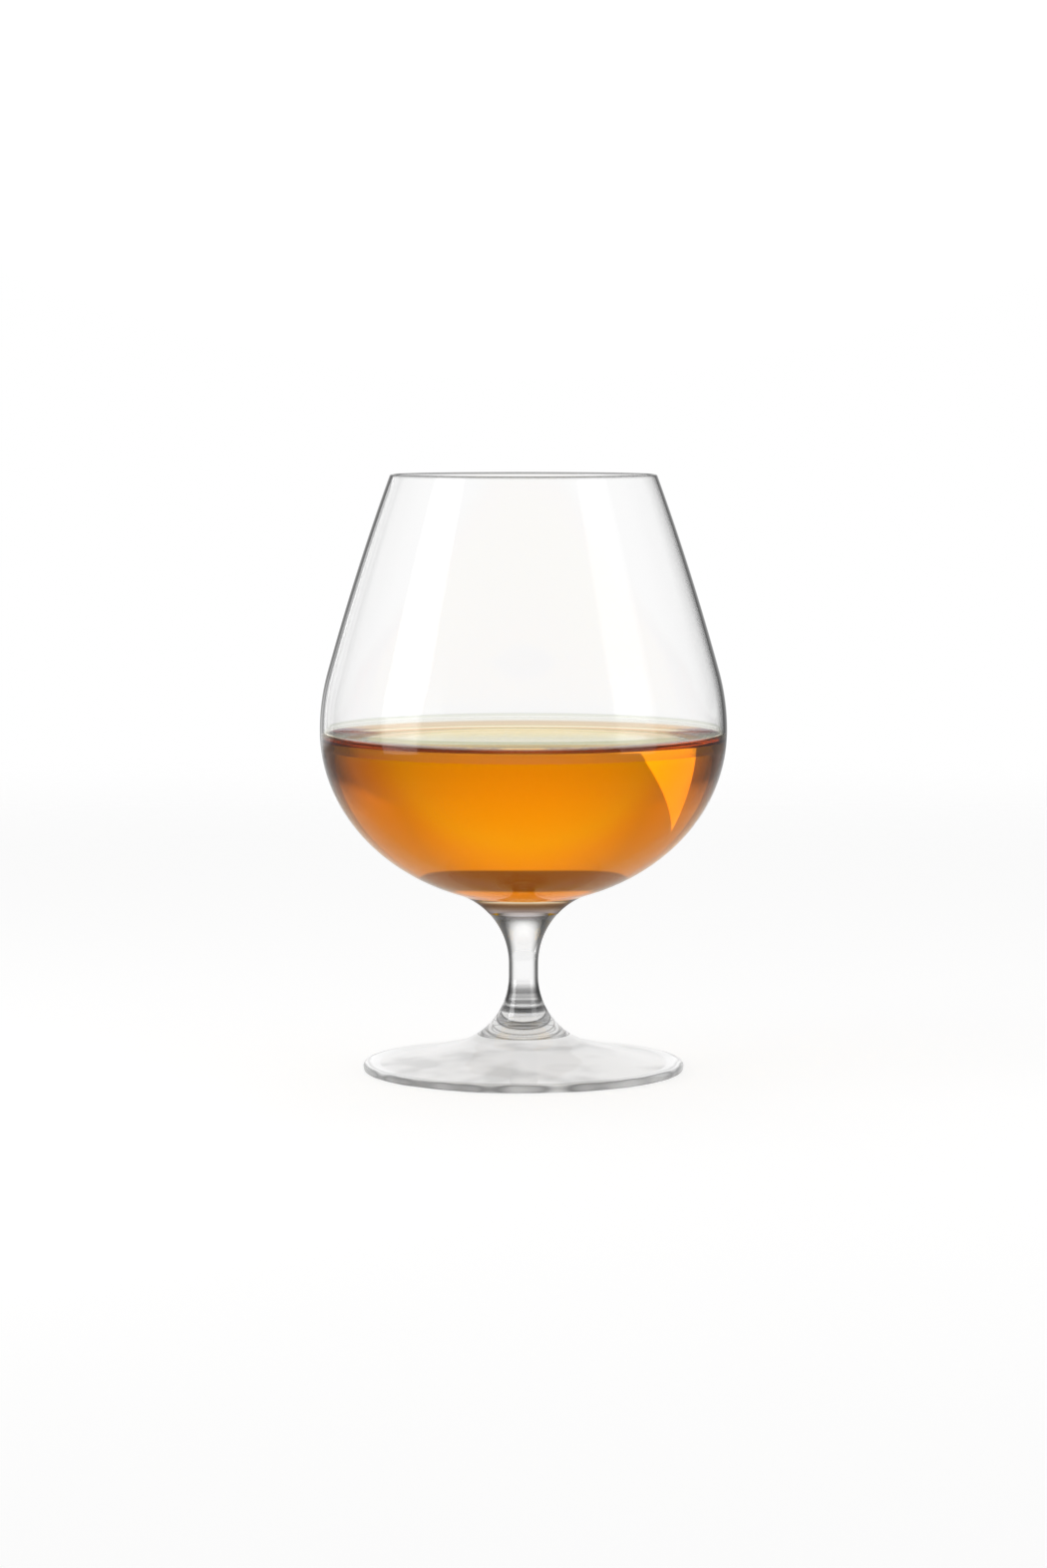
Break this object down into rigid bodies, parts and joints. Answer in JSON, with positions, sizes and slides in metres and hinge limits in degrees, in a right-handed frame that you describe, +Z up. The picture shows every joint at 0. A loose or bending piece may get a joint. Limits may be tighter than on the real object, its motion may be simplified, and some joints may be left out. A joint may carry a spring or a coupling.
{
  "type": "brandy snifter glass",
  "caption": "Clear stemmed brandy snifter with a wide belly, a tapered mouth and a round foot, holding a measure of amber spirit.",
  "frame": {"origin": "on the axis of the glass, on the plane it stands on", "axes": "+Z up along the axis of the glass, from the foot to the mouth; +X to the right and -Y towards the viewer of the picture"},
  "size_m": [0.0912, 0.0912, 0.134],
  "materials": {
    "bowl_glass": "polished",
    "stem_glass": "polished",
    "foot_glass": "polished",
    "spirit": "gloss"
  },
  "bodies": {
    "root": {"bowl": "bowl_glass", "stem": "stem_glass", "foot": "foot_glass", "drink": "spirit"}
  },
  "joints": []
}
